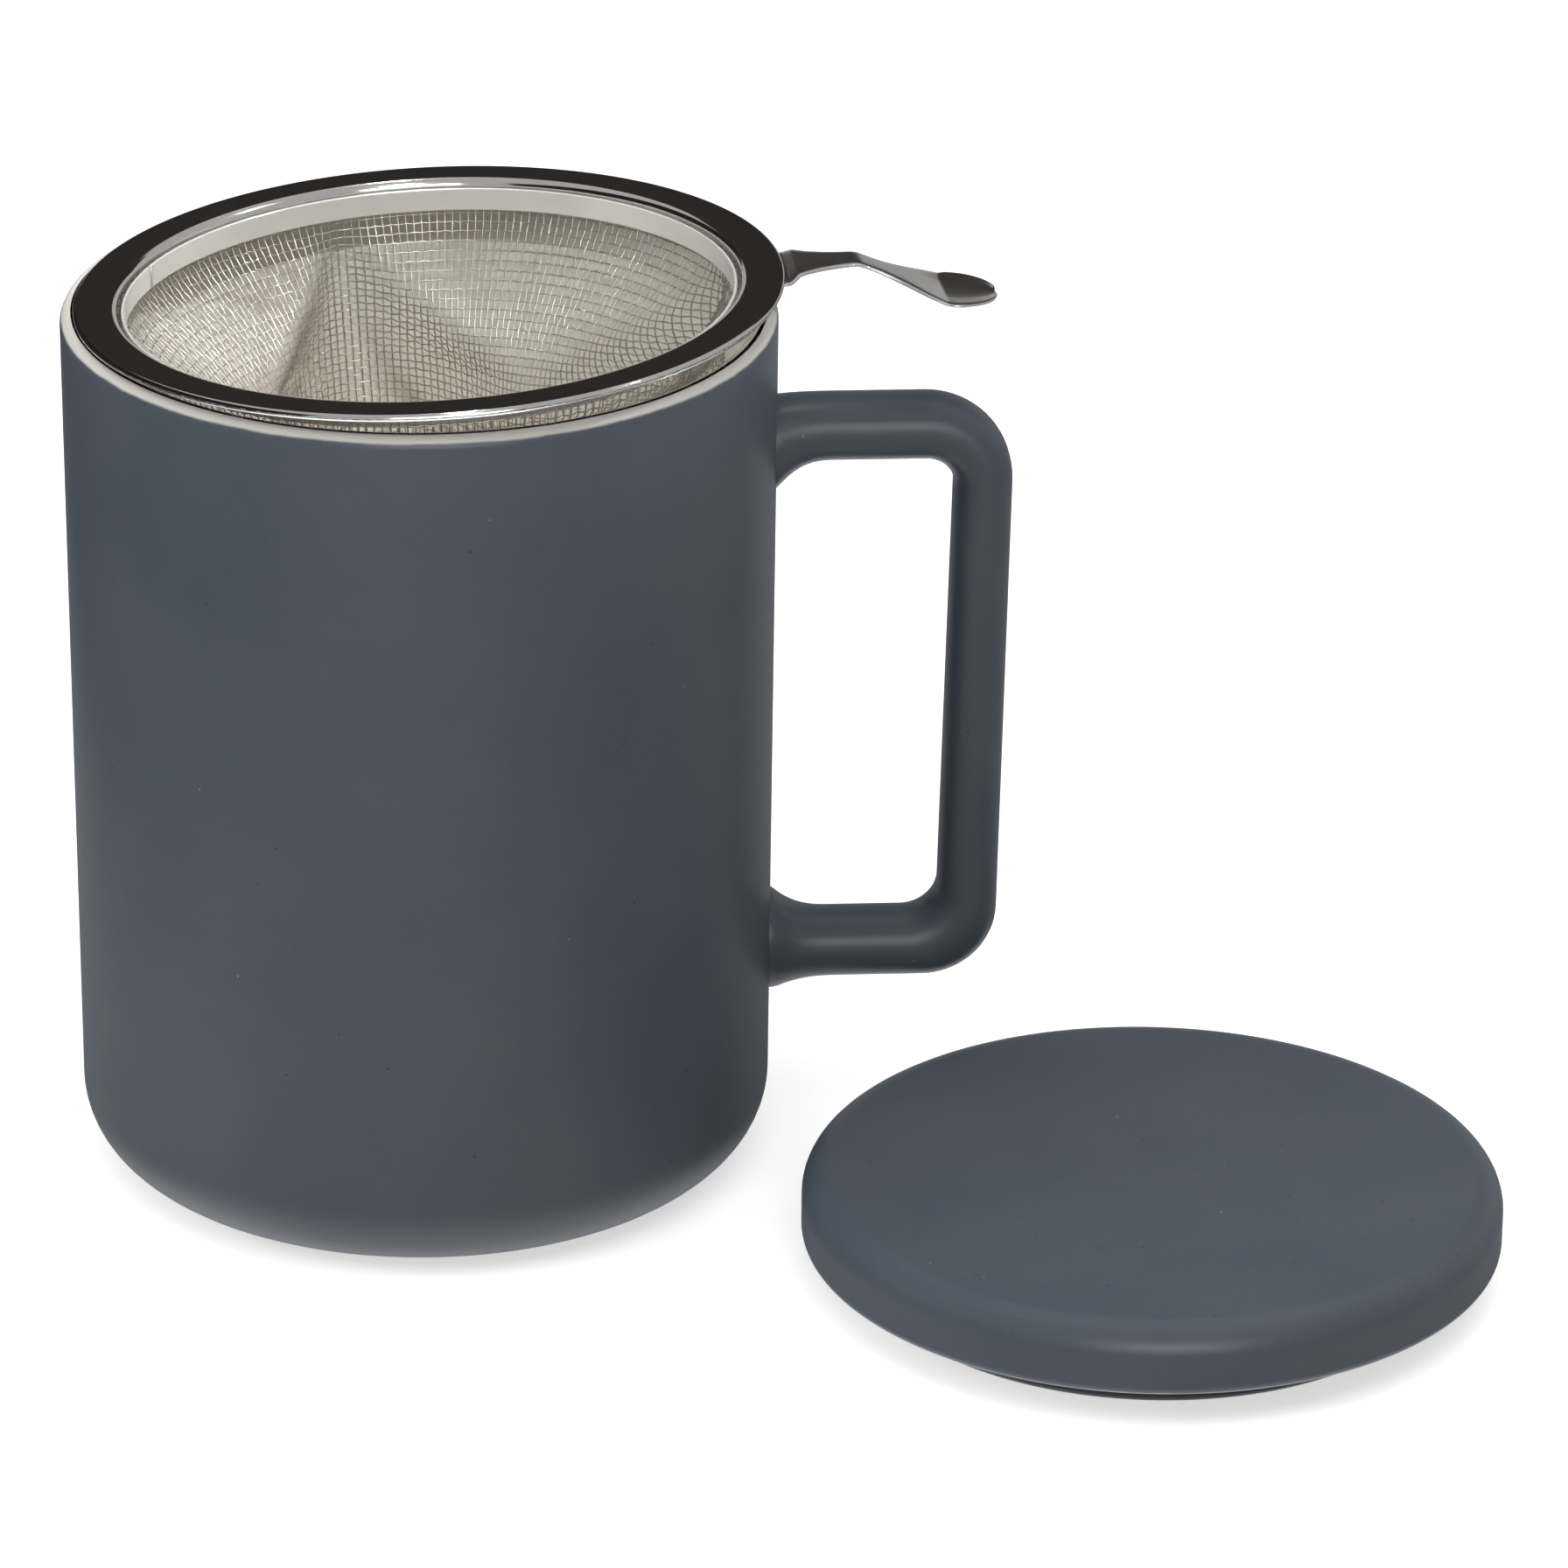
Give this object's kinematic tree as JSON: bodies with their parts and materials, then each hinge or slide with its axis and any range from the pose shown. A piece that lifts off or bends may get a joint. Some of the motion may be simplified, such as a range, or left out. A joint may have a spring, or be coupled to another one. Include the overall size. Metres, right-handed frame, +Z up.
{
  "type": "lidded tea mug with infuser",
  "caption": "Straight-sided stoneware tea mug with a squared handle, a lift-out steel mesh infuser with a thumb tab, and a loose disc lid with a plug ring.",
  "frame": {"origin": "centre of the mug's flat foot, on the table", "axes": "+Z up along the mug's axis, +X from the mug's axis through the handle, lid lying towards +X and -Y"},
  "size_m": [0.1698, 0.1247, 0.1136],
  "materials": {
    "mug_glaze": "satin slate blue glaze",
    "handle_glaze": "satin slate blue glaze",
    "lid_glaze": "satin slate blue glaze",
    "flange_steel": "polished stainless steel",
    "band_steel": "satin stainless steel",
    "mesh_steel": "woven stainless wire",
    "tab_steel": "satin stainless steel"
  },
  "bodies": {
    "mug": {"mug_body": "mug_glaze", "mug_handle": "handle_glaze"},
    "infuser": {"rim_flange": "flange_steel", "inner_band": "band_steel", "mesh_basket": "mesh_steel", "thumb_tab": "tab_steel"},
    "lid": {"lid": "lid_glaze"}
  },
  "joints": [
    {"name": "infuser_lift", "type": "slide", "parent": "mug", "child": "infuser", "axis": [0, 0, 1], "range_m": [0, 0.085]},
    {"name": "lid_lift", "type": "slide", "parent": "mug", "child": "lid", "axis": [0.45, -0.5, 0.74], "range_m": [0, 0.12]}
  ]
}
